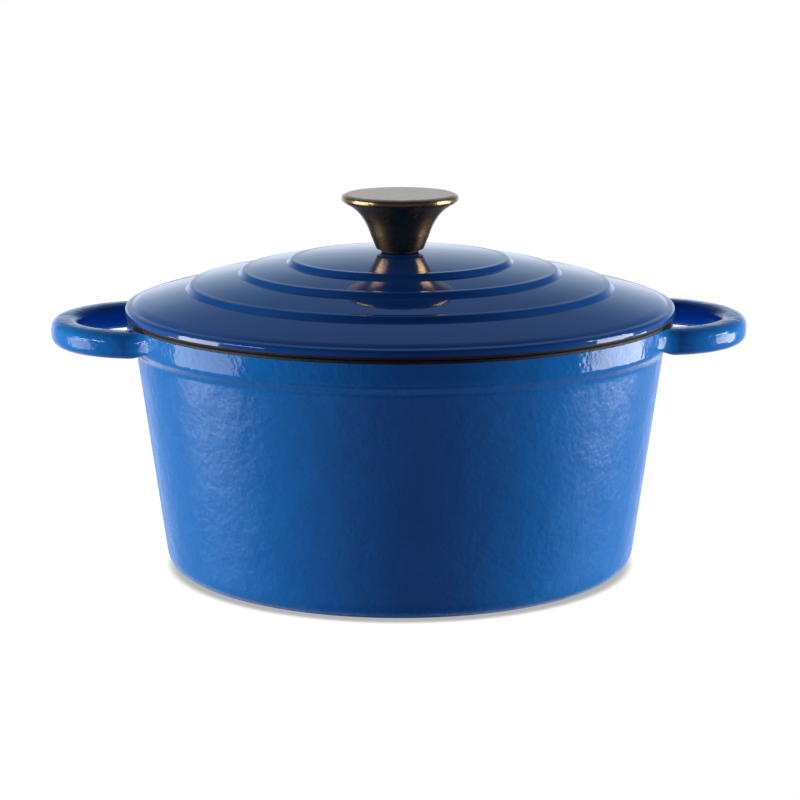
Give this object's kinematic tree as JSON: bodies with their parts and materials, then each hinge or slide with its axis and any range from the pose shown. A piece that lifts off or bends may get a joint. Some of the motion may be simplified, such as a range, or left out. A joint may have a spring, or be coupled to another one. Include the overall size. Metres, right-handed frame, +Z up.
{
  "type": "casserole",
  "caption": "Round enamelled cast-iron casserole with loop handles and a stepped dome lid that lifts off by a flared brass knob.",
  "frame": {"origin": "centre of the base, on the surface that the pot stands on", "axes": "+Z up through the knob, +X towards one loop handle and -X towards the other, -Y the side seen from the front"},
  "size_m": [0.322, 0.254, 0.173],
  "materials": {
    "pot_enamel": "glossy blue vitreous enamel over iron, black rim, pale inside",
    "lid_enamel": "very glossy dark blue vitreous enamel over iron, pale underside",
    "aged_brass": "satin, darkened",
    "black_rubber": "matte",
    "stainless_screw": "bright",
    "stainless_washer": "bright"
  },
  "bodies": {
    "pot": {"pot_casting": "pot_enamel"},
    "lid": {"lid_casting": "lid_enamel", "knob": "aged_brass", "knob_gasket": "black_rubber", "knob_screw": "stainless_screw", "spring_washer": "stainless_washer", "flat_washer": "stainless_washer"}
  },
  "joints": [
    {"name": "lid_lift", "type": "slide", "parent": "pot", "child": "lid", "axis": [0, 0, 1], "range_m": [0, 0.25]}
  ]
}
